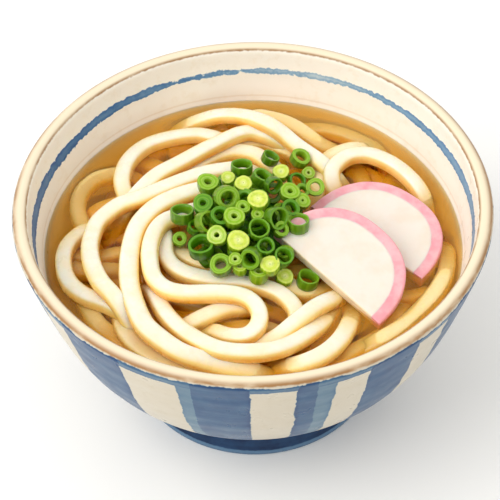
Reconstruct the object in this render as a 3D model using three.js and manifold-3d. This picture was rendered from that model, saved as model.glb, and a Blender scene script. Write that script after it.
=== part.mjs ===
// A bowl of udon: a footed bowl, broth, a heap of thick noodles, two slices of fish cake
// with a pink rim, and a mound of sliced scallion.
// Millimetres, +Z up. The origin is the centre of the foot ring's underside.
import * as THREE from 'three';
import { mergeVertices } from 'three/addons/utils/BufferGeometryUtils.js';
import Module from 'manifold-3d';

// ---------- driving dimensions ----------
const GAP = 0.3; // clearance between pieces that touch

const RIM_RADIUS = 92.5;
const BOWL_HEIGHT = 98;
const LIP_THICKNESS = 6.2;
const FOOT_RADIUS = 51;
const FOOT_WAIST_RADIUS = 45.6;
const FOOT_HEIGHT = 13.5;
const FOOT_RING_WIDTH = 5;
const RECESS_HEIGHT = 9;
const FLOOR_HEIGHT = 20; // inner floor of the bowl
const AROUND = 44; // facets round the bowl's axis
const OUTSIDE_STEPS = 7; // facets up the outside and the inside of the wall
const INSIDE_STEPS = 9;

const BROTH_LEVEL = 72;

const HEAP_FLOOR = 24; // underside of the noodles
const HEAP_RADIUS = 72;
const HEAP_AROUND = 24;
const HEAP_TOP = 74.2; // the heap's middle, without its top strands
const HEAP_FALL = 9; // how much lower its edge lies
const HEAP_FALL_POWER = 3.5;
const STRAND_WIDTH = 6.8;
const STRAND_HEIGHT = 6.2;
const STRAND_SIDES = 6;
const STRAND_STEP = 15; // length of one facet along a strand
const LEVEL_LIFT = [0.8, 2.2, 3.2]; // sunk, floating and top strands, above the heap's core

const SLICE_WIDTH = 56; // along the flat cut base of the half round slice
const SLICE_HEIGHT = 30.5;
const SLICE_THICKNESS = 5.5;
const SLICE_ROUNDNESS = 2.33; // exponent of the outline: 2 is an ellipse, more is squarer
const SLICE_STEPS = 18;
const RIND_WIDTH = 4.3; // the pink rim

const MOUND_CENTRE = new THREE.Vector3(0, 6, 72.5);
const MOUND_RADII = new THREE.Vector3(19, 22, 10.5);
const MOUND_SPREAD = THREE.MathUtils.degToRad(75); // how far down its side the rings lie
const RING_COUNT = 19;
const RING_RADIUS = 4.7;
const RING_HOLE_RADIUS = 2.6;
const RING_HEIGHT = 4.6;
const RING_SIDES = 6;
const RING_SINK = 0.6; // how deep a ring sits in the mound
const GOLDEN_ANGLE = Math.PI * (3 - Math.sqrt(5));

// ---------- solids ----------
const wasm = await Module();
wasm.setup();

// Merges shared vertices and drops the triangles that close up to a line or a point.
function weld(geometry) {
  const bare = geometry.clone();
  bare.deleteAttribute('normal');
  bare.deleteAttribute('uv');
  const merged = mergeVertices(bare, 1e-4);
  const kept = [];
  for (let i = 0; i < merged.index.count; i += 3) {
    const [a, b, c] = [0, 1, 2].map((k) => merged.index.getX(i + k));
    if (a !== b && b !== c && c !== a) {
      kept.push(a, b, c);
    }
  }
  merged.setIndex(kept);
  return merged;
}

function toSolid(geometry) {
  const welded = weld(geometry);
  return new wasm.Manifold(new wasm.Mesh({
    numProp: 3,
    vertProperties: new Float32Array(welded.attributes.position.array),
    triVerts: new Uint32Array(welded.index.array),
  }));
}

function join(solids) {
  return solids.reduce((whole, solid) => whole.add(solid));
}

// The largest connected body of a solid as a geometry. Cutting strands and rings out of a
// neighbour can leave crumbs between them, which are dropped.
function largestBody(solid) {
  const { vertProperties, triVerts } = solid.getMesh();
  const parent = Array.from({ length: vertProperties.length / 3 }, (_, i) => i);
  const rootOf = (i) => {
    let root = i;
    while (parent[root] !== root) {
      root = parent[root];
    }
    parent[i] = root;
    return root;
  };
  for (let i = 0; i < triVerts.length; i += 3) {
    parent[rootOf(triVerts[i + 1])] = rootOf(triVerts[i]);
    parent[rootOf(triVerts[i + 2])] = rootOf(triVerts[i]);
  }
  const point = (i) => new THREE.Vector3().fromArray(vertProperties, 3 * i);
  const bodies = new Map();
  for (let i = 0; i < triVerts.length; i += 3) {
    const corners = [triVerts[i], triVerts[i + 1], triVerts[i + 2]];
    const root = rootOf(corners[0]);
    const body = bodies.get(root) ?? { volume: 0, triangles: [] };
    const [a, b, c] = corners.map(point);
    body.volume += a.dot(b.cross(c)) / 6;
    body.triangles.push(...corners);
    bodies.set(root, body);
  }
  const largest = [...bodies.values()].sort((a, b) => b.volume - a.volume)[0];
  const geometry = new THREE.BufferGeometry();
  geometry.setAttribute('position', new THREE.BufferAttribute(vertProperties, 3));
  geometry.setIndex(largest.triangles);
  return weld(geometry);
}

// Turns a profile of radius and height about the Z axis.
function turned(profile, sides = AROUND) {
  return new THREE.LatheGeometry(profile, sides).rotateX(Math.PI / 2);
}

const at = (radius, height) => new THREE.Vector2(radius, height);

// ---------- bowl ----------
const outerWall = new THREE.CubicBezierCurve(
  at(FOOT_WAIST_RADIUS - 1.8, FOOT_HEIGHT + 2.5),
  at(80.4, 32.1),
  at(84.7, 67.8),
  at(RIM_RADIUS - 0.6, BOWL_HEIGHT - 4.5),
);
const innerWall = new THREE.CubicBezierCurve(
  at(RIM_RADIUS - LIP_THICKNESS, BOWL_HEIGHT - 5),
  at(80, 48),
  at(62, FLOOR_HEIGHT - 1.5),
  at(0, FLOOR_HEIGHT),
);

function bowlProfile() {
  const footInside = FOOT_RADIUS - FOOT_RING_WIDTH;
  const underside = [
    at(0, RECESS_HEIGHT),
    at(footInside - 6, RECESS_HEIGHT - 0.5),
    at(footInside - 2, RECESS_HEIGHT - 3),
    at(footInside, 0),
  ];
  const foot = [
    at(FOOT_RADIUS - 0.8, 0),
    at(FOOT_RADIUS, 0.9),
    at(FOOT_WAIST_RADIUS + 1.4, FOOT_HEIGHT - 4),
    at(FOOT_WAIST_RADIUS, FOOT_HEIGHT),
  ];
  const lip = [
    at(RIM_RADIUS, BOWL_HEIGHT - 2.5),
    at(RIM_RADIUS - 1.2, BOWL_HEIGHT - 0.6),
    at(RIM_RADIUS - LIP_THICKNESS / 2, BOWL_HEIGHT),
    at(RIM_RADIUS - LIP_THICKNESS + 1, BOWL_HEIGHT - 0.7),
  ];
  const outside = outerWall.getPoints(OUTSIDE_STEPS).slice(1);
  const inside = innerWall.getPoints(INSIDE_STEPS);
  return [...underside, ...foot, ...outside, ...lip, ...inside];
}

// The hollow of the bowl below a height, drawn in from the wall's facets by a gap.
function hollow(top, gap) {
  const wall = innerWall.getPoints(INSIDE_STEPS).reverse();
  const above = wall.findIndex((p) => p.y >= top);
  const [low, high] = [wall[above - 1], wall[above]];
  const edge = low.x + ((high.x - low.x) * (top - low.y)) / (high.y - low.y);
  const below = wall.slice(0, above).map((p) => at(Math.max(p.x - gap, 0), p.y + gap));
  return turned([...below, at(edge - gap, top), at(0, top)]);
}

// ---------- noodles ----------
const coreHeight = (radius) => HEAP_TOP - HEAP_FALL * (radius / HEAP_RADIUS) ** HEAP_FALL_POWER;

function heapCore(grow) {
  const floor = at(0, HEAP_FLOOR - grow);
  const side = [[32, HEAP_FLOOR], [52, 38], [66, 52], [HEAP_RADIUS, 60]];
  const shoulder = [HEAP_RADIUS, 60, 42].map((radius) => at(radius + grow, coreHeight(radius) + grow));
  const below = side.map(([radius, height]) => at(radius + grow, height - grow));
  return turned([floor, ...below, ...shoulder, at(0, HEAP_TOP + grow)], HEAP_AROUND);
}

// Each strand's level and the points that its middle passes over, seen from above.
const STRANDS = [
  [2, [[-19, 24], [-37, 16], [-47, -2], [-48, -22], [-42, -44], [-26, -61], [0, -69]]],
  [1, [[-38, -30], [-30, -44], [-14, -54], [7, -57], [20, -50], [29, -39]]],
  [2, [[5, -54], [14, -47], [22, -39], [32, -37]]],
  [2, [[-9, 35], [-32, 27], [-52, 17], [-63, 4], [-64, -12], [-55, -29]]],
  [2, [[-25, 11], [-38, 1], [-39, -15], [-27, -31], [-8, -31], [4, -40], [-2, -51], [-14, -51]]],
  [1, [[-35, -1], [-30, -14], [-18, -20], [2, -25], [14, -34], [16, -43]]],
  [1, [[-68, 5], [-73, -9], [-68, -24], [-47, -37]]],
  [1, [[-16, 58], [-34, 58], [-49, 46], [-51, 25]]],
  [2, [[-47, 21], [-32, 37], [-14, 51], [6, 55]]],
  [2, [[-26, 60], [-6, 66], [12, 56], [27, 38]]],
  [1, [[31, 28], [32, 42], [48, 43], [61, 33], [69, 13]]],
  [0, [[5, 71], [24, 66], [38, 60], [50, 54]]],
  [1, [[-25, 39], [-8, 49], [8, 43], [20, 46]]],
  [0, [[-55, 42], [-66, 33], [-70, 20], [-66, 7]]],
  [0, [[-65, -27], [-57, -42], [-40, -56], [-18, -63]]],
  [1, [[7, -65], [22, -62], [32, -51], [36, -37]]],
  [0, [[72, -6], [69, -20], [60, -35], [45, -50]]],
];

function strand(level, route, grow) {
  const points = route.map(([x, y]) => {
    return new THREE.Vector3(x, y, coreHeight(Math.hypot(x, y)) + LEVEL_LIFT[level]);
  });
  const path = new THREE.CatmullRomCurve3(points, false, 'centripetal');
  const section = new THREE.Shape();
  for (let i = 0; i < STRAND_SIDES; i += 1) {
    const turn = (2 * Math.PI * (i + 0.5)) / STRAND_SIDES;
    const x = (STRAND_HEIGHT / 2 + grow) * Math.cos(turn);
    const y = (STRAND_WIDTH / 2 + grow) * Math.sin(turn);
    if (i === 0) {
      section.moveTo(x, y);
    } else {
      section.lineTo(x, y);
    }
  }
  const steps = Math.round(path.getLength() / STRAND_STEP);
  return new THREE.ExtrudeGeometry(section, { steps, extrudePath: path, bevelEnabled: false });
}

function heap(grow) {
  const strands = STRANDS.map(([level, route]) => toSolid(strand(level, route, grow)));
  return join([toSolid(heapCore(grow)), ...strands]);
}

// ---------- fish cake ----------
// Half of a rounded outline from one end of the flat base over the dome to the other.
function dome(width, height, shift = 0) {
  const points = [];
  for (let i = 0; i <= SLICE_STEPS; i += 1) {
    const turn = (Math.PI * i) / SLICE_STEPS;
    const [c, s] = [Math.cos(turn), Math.sin(turn)];
    const x = (width / 2) * Math.sign(c) * Math.abs(c) ** (2 / SLICE_ROUNDNESS);
    const y = height * Math.abs(s) ** (2 / SLICE_ROUNDNESS);
    points.push(at(x, y + shift));
  }
  return points;
}

function slab(outline, thickness, top = 0) {
  const shape = new THREE.Shape(outline);
  const geometry = new THREE.ExtrudeGeometry(shape, { depth: thickness, bevelEnabled: false });
  return geometry.translate(0, 0, top - thickness);
}

function sliceMiddle() {
  const inset = RIND_WIDTH + GAP;
  return slab(dome(SLICE_WIDTH - 2 * inset, SLICE_HEIGHT - inset), SLICE_THICKNESS);
}

function sliceRind() {
  const outer = dome(SLICE_WIDTH, SLICE_HEIGHT);
  const inner = dome(SLICE_WIDTH - 2 * RIND_WIDTH, SLICE_HEIGHT - RIND_WIDTH).reverse();
  return slab([...outer, ...inner], SLICE_THICKNESS);
}

// The whole slice with a clearance all round, for cutting its neighbours.
function sliceSpace(slice) {
  const outline = dome(SLICE_WIDTH + 2 * GAP, SLICE_HEIGHT + 2 * GAP, -GAP);
  const geometry = slab(outline, SLICE_THICKNESS + 2 * GAP, GAP);
  return toSolid(geometry.applyMatrix4(slice.matrixWorld));
}

// Places a slice by the middle of its flat base on the upper face, and turns it by its
// heading, its pitch about the base and its roll about the dome's axis.
function placedSlice(x, y, z, heading, pitch, roll) {
  const slice = new THREE.Group();
  slice.position.set(x, y, z);
  const turns = [pitch, roll, heading].map(THREE.MathUtils.degToRad);
  slice.rotation.set(...turns, 'ZXY');
  slice.updateMatrixWorld(true);
  return slice;
}

const frontSlice = placedSlice(27, -25.1, 79.1, -47, 11, 12);
const backSlice = placedSlice(43.4, -3, 75, -42, 4, 3);

// ---------- scallions ----------
function scallion(index) {
  const slope = MOUND_SPREAD * Math.sqrt((index + 0.5) / RING_COUNT);
  const direction = new THREE.Vector3().setFromSphericalCoords(1, slope, index * GOLDEN_ANGLE);
  direction.applyAxisAngle(new THREE.Vector3(1, 0, 0), Math.PI / 2);
  const seat = direction.clone().multiply(MOUND_RADII).add(MOUND_CENTRE);
  const up = direction.clone().divide(MOUND_RADII).normalize();
  const outline = [];
  const hole = [];
  for (let i = 0; i < RING_SIDES; i += 1) {
    const side = (2 * Math.PI * i) / RING_SIDES;
    outline.push(at(RING_RADIUS * Math.cos(side), RING_RADIUS * Math.sin(side)));
    hole.push(at(RING_HOLE_RADIUS * Math.cos(side), RING_HOLE_RADIUS * Math.sin(side)));
  }
  const shape = new THREE.Shape(outline);
  if (index % 3 !== 0) {
    shape.holes.push(new THREE.Path(hole.reverse()));
  }
  const ring = new THREE.ExtrudeGeometry(shape, { depth: RING_HEIGHT, bevelEnabled: false });
  ring.translate(0, 0, -RING_SINK);
  ring.applyQuaternion(new THREE.Quaternion().setFromUnitVectors(new THREE.Vector3(0, 0, 1), up));
  return toSolid(ring.translate(seat.x, seat.y, seat.z));
}

function mound() {
  const core = new THREE.SphereGeometry(1, 16, 8);
  core.scale(MOUND_RADII.x, MOUND_RADII.y, MOUND_RADII.z);
  core.translate(MOUND_CENTRE.x, MOUND_CENTRE.y, MOUND_CENTRE.z);
  const rings = Array.from({ length: RING_COUNT }, (_, i) => scallion(i));
  return join([toSolid(core), ...rings]);
}

// ---------- colours ----------
const paint = (color, roughness) => new THREE.MeshStandardMaterial({ color, roughness, metalness: 0 });

const glazeColour = '#efe6d2';
const brothColour = '#d59a35';
const noodleColour = '#fbf1d3';
const fishCakeColour = '#f7ede0';
const rindColour = '#f094b4';
const scallionColour = '#3f8f23';

// ---------- assembly ----------
const udonBowl = new THREE.Group();

function addPiece(name, geometry, material, parent = udonBowl) {
  const mesh = new THREE.Mesh(geometry, material);
  mesh.name = name;
  parent.add(mesh);
}

const slicesSpace = sliceSpace(frontSlice).add(sliceSpace(backSlice));
const grownHeap = heap(GAP);

addPiece('bowl', weld(turned(bowlProfile())), paint(glazeColour, 0.25));
addPiece(
  'broth',
  largestBody(toSolid(hollow(BROTH_LEVEL, GAP)).subtract(grownHeap).subtract(slicesSpace)),
  paint(brothColour, 0.1),
);
addPiece('noodle_heap', largestBody(heap(0).subtract(slicesSpace)), paint(noodleColour, 0.35));

[['front', frontSlice], ['back', backSlice]].forEach(([place, slice]) => {
  addPiece(`kamaboko_${place}_white`, weld(sliceMiddle()), paint(fishCakeColour, 0.5), slice);
  addPiece(`kamaboko_${place}_pink`, weld(sliceRind()), paint(rindColour, 0.45), slice);
  udonBowl.add(slice);
});

addPiece(
  'scallion_heap',
  largestBody(mound().subtract(grownHeap).subtract(slicesSpace)),
  paint(scallionColour, 0.4),
);

export default udonBowl;
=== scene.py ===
"""A bowl of udon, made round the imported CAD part: a footed bowl with brushed blue stripes, amber broth,
a heap of thick noodles, two slices of fish cake with a pink rim and a mound of sliced scallion.

Places are in millimetres in this script and in metres in the meshes, in the frame of the CAD part.
Points of the picture are pixels of its 500 x 500 frame, and the camera below turns them into places.
"""

import math
import random

import bmesh
import bpy
import numpy as np
from mathutils import Matrix, Vector
from mathutils.bvhtree import BVHTree


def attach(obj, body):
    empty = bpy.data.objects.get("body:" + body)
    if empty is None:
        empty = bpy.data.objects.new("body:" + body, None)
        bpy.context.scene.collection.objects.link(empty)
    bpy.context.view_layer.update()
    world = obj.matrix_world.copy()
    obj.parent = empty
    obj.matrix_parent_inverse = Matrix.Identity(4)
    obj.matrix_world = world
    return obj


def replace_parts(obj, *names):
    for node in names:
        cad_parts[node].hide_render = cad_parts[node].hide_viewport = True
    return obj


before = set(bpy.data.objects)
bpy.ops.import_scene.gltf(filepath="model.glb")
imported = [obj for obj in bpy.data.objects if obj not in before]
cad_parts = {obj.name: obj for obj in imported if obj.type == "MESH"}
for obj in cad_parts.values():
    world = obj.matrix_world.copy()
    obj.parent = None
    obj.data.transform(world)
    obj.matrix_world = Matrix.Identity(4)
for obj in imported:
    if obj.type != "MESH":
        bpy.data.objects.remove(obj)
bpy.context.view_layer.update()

MM = 0.001

# ---------- the camera of the picture ----------
PICTURE_SIZE = 500
FOCAL_PIXELS = 1759
SENSOR_WIDTH = 36.0
ELEVATION = math.radians(47.34)
ROLL = math.radians(-1.1)
CAMERA_DISTANCE = 704.5
AIM = np.array([-1.32, 4.42, 62.88])

BACK = np.array([0.0, -math.cos(ELEVATION), math.sin(ELEVATION)])
LEVEL_UP = np.array([0.0, math.sin(ELEVATION), math.cos(ELEVATION)])
EAST = np.array([1.0, 0.0, 0.0])
PICTURE_RIGHT = math.cos(ROLL) * EAST + math.sin(ROLL) * LEVEL_UP
PICTURE_UP = math.cos(ROLL) * LEVEL_UP - math.sin(ROLL) * EAST
CAMERA_PLACE = AIM + BACK * CAMERA_DISTANCE

# ---------- the bowl: its profile is in radii and heights ----------
RIM_RADIUS, BOWL_HEIGHT = 92.5, 98.0
LIP_THICKNESS = 6.2
UNDERSIDE = [
    (0, 9), (14, 9), (28, 8.9), (38, 8.6), (42.4, 7.4), (44.4, 5), (45.5, 1.4), (46.2, 0.2), (47, 0),
]
FOOT = [(49.6, 0), (50.6, 0.3), (51, 1.1), (50.3, 3.0), (48.4, 6.6), (46.6, 10.2), (45.5, 13.2)]
OUTER_WALL = [(43.8, 16.0), (80.4, 32.1), (84.7, 67.8), (91.9, 93.5)]   # corners of Bezier curves
INNER_WALL = [(86.3, 93.0), (80.0, 48.0), (62.0, 18.5), (0.0, 20.0)]
BOWL_AROUND = 288
PROFILE_STEP = 1.4

# Blue stripes on the outside, in degrees from +X, counterclockwise from above. The near side shows
# in the picture and the far side goes on in its rhythm. Each has its edges and the edge of a paler
# part, or None.
STRIPES = [
    (-139.3, -122.3, None), (-108.3, -91.6, -105.0), (-80.8, -71.6, -76.0), (-63.5, -49.6, None),
    (-39.8, -23.0, None), (-12.0, 0.5, -3.0), (10.0, 21.0, None), (31.0, 44.5, None),
    (56.0, 68.0, 59.5), (79.0, 93.0, None), (105.0, 117.0, None), (128.5, 142.0, 138.5),
    (153.5, 166.0, None), (177.0, 190.0, None), (201.5, 211.0, 204.5),
]
BAND_TOP, BAND_BOTTOM = 95.9, 92.2      # pale band under the lip
BASE_TOP, BASE_BOTTOM = 19.2, 15.5      # thin line where the wall meets the foot
WALL_BOTTOM = 15.0                      # the stripes and the two lines lie over this height
FOOT_PALE_BAND = 2.6                          # height of the paler band along the bottom of the foot
INNER_LINE_HEIGHT = 86.1                # painted line inside
LIP_OUTSIDE, LIP_INSIDE = 3.4, 3.0      # how far the unpainted lip goes from the crest
UNPAINTED = -5.0                        # a place far outside every edge of the paint
COBALT = (2.7, 1.6, 0.72)               # how much red, green and blue the paint absorbs
PAINT_BLUR = 0.18                       # how soft its edges are
RIDGES, LEAN = 0.12, 0.15               # how far the wall, thrown by hand, strays from its profile

# ---------- the broth ----------
BROTH_LEVEL = 72.0
MENISCUS_HEIGHT = 0.75
MENISCUS_REACH = 1.7
TIDE_HEIGHT = 75.0      # the fine line that the broth left on the glaze
SOAKED_REACH = 5.4      # how high over the broth the noodles are tinted by it
BROTH_DEPTH_SEEN = 7.0
BROTH_ABSORPTION = (0.01, 0.08, 0.42)   # for each millimetre, red, green and blue
BROTH_CLOUD = 0.05                      # the share of light that a millimetre of it sends back
WALL_TINT = 0.33                        # how strongly it tints the bowl's wall
WALL_EDGE, FOOD_EDGE = 5.0, 0.6         # how deep it looks right at its edge, on the wall and on food
BROTH_AROUND = 480
BROTH_OVERLAP = 0.3                     # how far it reaches into the bowl's wall
CHUNKS = 80                             # parts in which long tables of distances are worked out

# ---------- the noodles ----------
STRAND_WIDTH = 7.0
STRAND_HEIGHT = 5.7
STRAND_SQUARENESS = 3.3
STRAND_SIDES = 20
STRAND_STEP = 1.8
CUT_ROUNDING = ((0.45, 0.94), (0.7, 0.8))   # how far a cut end stands out, and its share of the width
CONTACT_RISE = 5.25     # from one strand's middle to that of the strand across it
CONTACT_REACH = 6.3
CONTACT_ROUNDNESS = 2.4
WEAVE_ROUNDS, WEAVE_STEPS = 4, 60
LIFT, HOLD = 0.35, 0.04     # how fast strands part where they touch and go back to their levels
FIRMNESS = 0.25         # how much a step draws a strand straight
WALL_GAP = 1.0          # between a strand and the bowl's wall
DIVE_POINTS = 13        # how far a strand's end goes on, down into the heap
LOWEST_DIVE = 59.0
STEEPEST_DIVE = -0.95   # how far down for each millimetre ahead
LOWEST_LID = 66         # middles over this height cover the bed
CORE_TOP = 54.0         # the plain heart of the heap, under the strands
CORE_RADIUS = 66.0
CORE_SIDE = [(2, 25), (30, 25.5), (50, 38), (62, 48)]   # radii and heights of its lower part
CORE_CROWN = (CORE_RADIUS, 60, 52, 44, 34, 22, 10, 2)   # radii of its upper part
CORE_AROUND = 72
CORE_LUMPS = 0.8        # how far it is from round
BED_RADIUS = 70.5
BED_SPARE = 1.5         # how far out of it a strand may stray
BED_LEVEL = 68.4        # the highest middle of a strand of the bed
BED_SQUEEZE = 1.2       # how far a strand of the bed may be pressed into what lies over it
BED_STEP = 2.2
BED_TUCK = 3            # how many points of an end run on, down into the heap
BED_TUCK_DROP = 1.5     # how far each of them goes down
BED_SIDES = 16
BED_CHECK = 12          # how many tries there are from one look for open places to the next
FEW_OPEN = 12           # fewer open places than this are left open
OPEN_STEP = 2.5         # from one place that is looked at to the next
COVER_REACH = 0.55      # how far from its middle a strand covers the bed, of its width
SHORTEST = 0.6          # of the least length in a layer
PLAN_STEP = 2           # from one point of the plan of a strand of the bed to the next
TIGHTEST_CURVE = 1 / 17     # one over the radius of its tightest bend
# The bed's layers: the height that is covered, the highest middle, the tries and the lengths.
BED_LAYERS = [
    (56.0, 63.0, 150, (50, 120)), (61.0, 66.0, 250, (40, 90)),
    (64.5, BED_LEVEL, 500, (26, 70)), (66.5, BED_LEVEL, 120, (30, 60)),
]

# Middles of the strands that the picture shows, from the lowest to the highest: the name, the
# height, or heights from its start to its end, near which it would lie, and the pixels.
STRANDS = [
    ("far_right", (67.5, 70, 70.3, 69.8, 69, 66.5), [
        (447, 255), (446, 272), (437, 291), (420, 311), (402, 327), (385, 338),
    ]),
    ("near_right_sunk", 68, [(355, 352), (372, 343), (388, 332), (396, 320)]),
    ("far_sunk", 69, [(305, 131), (318, 131), (332, 133), (346, 137), (360, 143), (372, 149)]),
    ("left_sunk", 69, [
        (115, 176), (107, 177.5), (96, 181), (85, 190), (79, 201), (78, 213), (82, 225), (88, 238),
    ]),
    ("near_left_sunk", 70, [(86, 303), (92, 316), (100, 327), (113, 338), (128, 347)]),
    ("near_sunk", 70, [
        (120, 320), (124, 331), (133, 344), (147, 355), (165, 364), (186, 370), (208, 374),
    ]),
    ("far_middle_sunk", 72, [(235, 147), (250, 144), (265, 144.5), (280, 148.5), (293, 155)]),
    ("in_the_eye", (71, 73.5, 73.5, 72.5), [(185, 328), (198, 321), (212, 314.5), (228, 309), (240, 308)]),
    ("under_the_mound", 71, [(165, 236), (172, 248), (184, 257), (200, 264), (218, 268), (238, 270)]),
    ("beside_the_slice", 71, [(285, 283), (296, 291), (310, 294), (325, 290), (338, 280)]),
    ("far_twin", (70.2, 69.7, 69.7, 69.2), [
        (262, 118), (281, 122.5), (296, 129), (309, 138), (322, 147), (333, 152),
    ]),
    ("right_arch_inner", 72, [(318, 184), (319, 172), (326, 162), (336, 155), (348, 151)]),
    ("left_loop", (71, 74, 74, 74, 72), [
        (80, 235), (69.5, 245), (64, 258), (65, 274), (72, 287), (86, 297), (102, 303), (116, 309),
        (130, 316),
    ]),
    ("far_left_arch", 74, [
        (212, 138), (198, 135.5), (180, 137), (160, 141.5), (145, 147.5), (132, 158), (124.5, 170),
        (122, 184), (125.5, 197),
    ]),
    ("far_middle", 73, [
        (190, 172), (203, 164), (216, 157), (230, 153), (243, 153), (256, 156), (267, 163),
    ]),
    ("inner_sweep", 74, [
        (165, 243), (166, 256), (173, 267), (187, 275), (207, 280), (228, 282), (245, 283),
        (261, 287), (277, 293), (288, 301), (296, 312), (297, 322),
    ]),
    ("near_right", (65, 73, 75, 75, 73, 67), [
        (271, 370), (284, 368), (297, 366), (312, 361), (327, 353), (340, 341), (348, 328),
        (352, 317), (350, 307),
    ]),
    ("right_arch", (71, 75, 76, 76, 76, 76, 76, 75, 69), [
        (337, 196), (332, 184), (332, 172), (339, 163), (350, 156.5), (365, 155), (379, 158.5),
        (393, 165.5), (405, 174.5), (416, 186), (423, 198), (425, 207),
    ]),
    ("far_diagonal", 77, [
        (135, 198), (144.5, 188), (158, 176), (180, 164), (202, 152), (220, 143), (238, 135),
        (252, 133), (266, 136.5),
    ]),
    ("far_arch", (67, 71, 76, 78, 78, 78, 77, 74, 70), [
        (177, 134), (187, 127.5), (199, 122), (216, 117), (234, 116), (251.6, 118.8), (268, 125),
        (283, 135), (296, 146), (309, 155), (319, 162),
    ]),
    ("long_curve", (78, 78, 78, 78, 78, 78, 76, 71), [
        (205, 190), (185, 195), (165, 203), (150, 213), (137, 229), (130, 253), (129, 281),
        (134, 303), (143, 324), (156, 337), (178, 352), (202, 361), (226, 367.5), (250, 372),
    ]),
    ("left_sweep", 77, [
        (229, 170.5), (207, 174), (185, 181), (167, 188), (140, 199), (122, 205), (107, 215),
        (97, 225), (92, 238), (90, 250), (92.7, 267), (100.7, 283), (110, 293),
    ]),
    ("spiral", (78, 78, 78, 78, 78, 78, 78, 76, 71), [
        (190, 213), (180, 217), (165, 222), (155, 233), (150, 249), (150, 264), (154, 279),
        (166, 290), (185, 294.4), (207, 294), (228, 294.4), (245, 298), (255.5, 306), (260, 317),
        (256.6, 329), (245, 337), (228, 337), (217.6, 333.5),
    ]),
    ("near_sweep", (75, 75, 76, 77, 77, 75, 71), [
        (156, 298), (163, 311), (176, 326), (194, 339), (218, 350), (245, 353.5), (272, 351),
        (293, 344), (311, 333), (325, 322), (331, 313),
    ]),
    ("to_the_slice", (71, 73, 75.5, 76, 74.5), [
        (258, 349), (268, 343.5), (281, 335.5), (299, 320.5), (316, 308), (331, 301), (342, 297),
    ]),
]
TRACE_STEP = 5.0        # pixels from one trace point to the next
CUT_ENDS = ("to_the_slice",)        # strands whose last end is cut and shows
WIDER = {"long_curve": 1.13, "left_sweep": 1.04, "near_right": 1.05}     # times the usual width
# Parts of strands that go under a strand that lies lower in the list: the strand, its first and
# last trace point there, and the other strand.
PASSES_UNDER = [
    ("near_sweep", 0, 6, "spiral"), ("spiral", -8, 1000, "near_sweep"), ("to_the_slice", 0, 6, "near_sweep"),
    ("long_curve", -5, 1000, "near_right"), ("far_arch", -6, 1000, "right_arch"),
    ("near_right_sunk", 0, 1000, "far_right"), ("far_arch", 0, 4, "far_left_arch"),
]

# ---------- the fish cake ----------
SLICE_WIDTH = 56.0
SLICE_HEIGHT = 30.5
SLICE_THICKNESS = 5.5
SLICE_ROUNDNESS = 2.33
SLICE_COLUMNS = 96      # sections across a slice
RIND_WIDTH = 4.3
SLICE_EDGE, RIND_EDGE = 0.55, 0.9       # how round the edges are
SLICE_CLEARANCE = 2.0   # how far round a slice the strands keep under it
SLICES_LEFT, SLICES_RIGHT, SLICES_NEAR, SLICES_FAR = 15, 75, -60, 40    # the part of the bowl round them
# The middle of the flat base on the upper face, then heading, pitch and roll in degrees.
SLICES = {
    "front": ((27.5, -25.4, 79.1), -47.0, 11.0, 12.0),
    "back": ((44.0, -3.1, 75.0), -42.0, 4.0, 3.0),
}

# ---------- the scallions ----------
RING_HEIGHT = 0.5               # of a ring's diameter
RING_SIDES = 32
CLOSED_HOLE = 0.12              # a smaller hole share is a closed heart
RING_BEVEL = 0.25
RING_RELIEF = 0.03              # how deep the cut face is between its layers
RING_SINK = 0.3                 # how far a ring settles into what carries it
RING_SQUEEZE = 0.8              # the part of a ring that keeps clear of the others
RING_REACH = 0.6                # how far a ring can reach from its middle, of its diameter
RING_OVAL, RING_RIBS = 0.055, 0.09      # how far a ring is from round, of its width, and its ribs
BACK_STEP = 0.4                 # how a ring that lies too high goes on down, into the others
MOUND_MIDDLE = (-2.0, 4.0)
MOUND_REACH = (25.0, 28.0)
MOUND_TOP, MOUND_SIDE = 92.5, 83.5      # how high a ring's middle may lie, in the middle and outside
FILL_TRIES = 480
FILL_TOP, FILL_SIDE = 86.5, 79.0
FILL_TONES = [0.02, 0.08, 0.15, 0.25, 0.4]
FILL_START, RING_START = 110.0, 112.0   # the heights from which rings are dropped
FAR_AWAY = 200.0                        # longer than any way down
LOWEST_RING = 60                        # one that falls lower is left out
MOUND_NEARER = 12                       # to the camera than the point that it aims at
MOUND_CORE = ((-1.0, 5.0, 72.5), (17.0, 20.0, 9.0))
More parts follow.
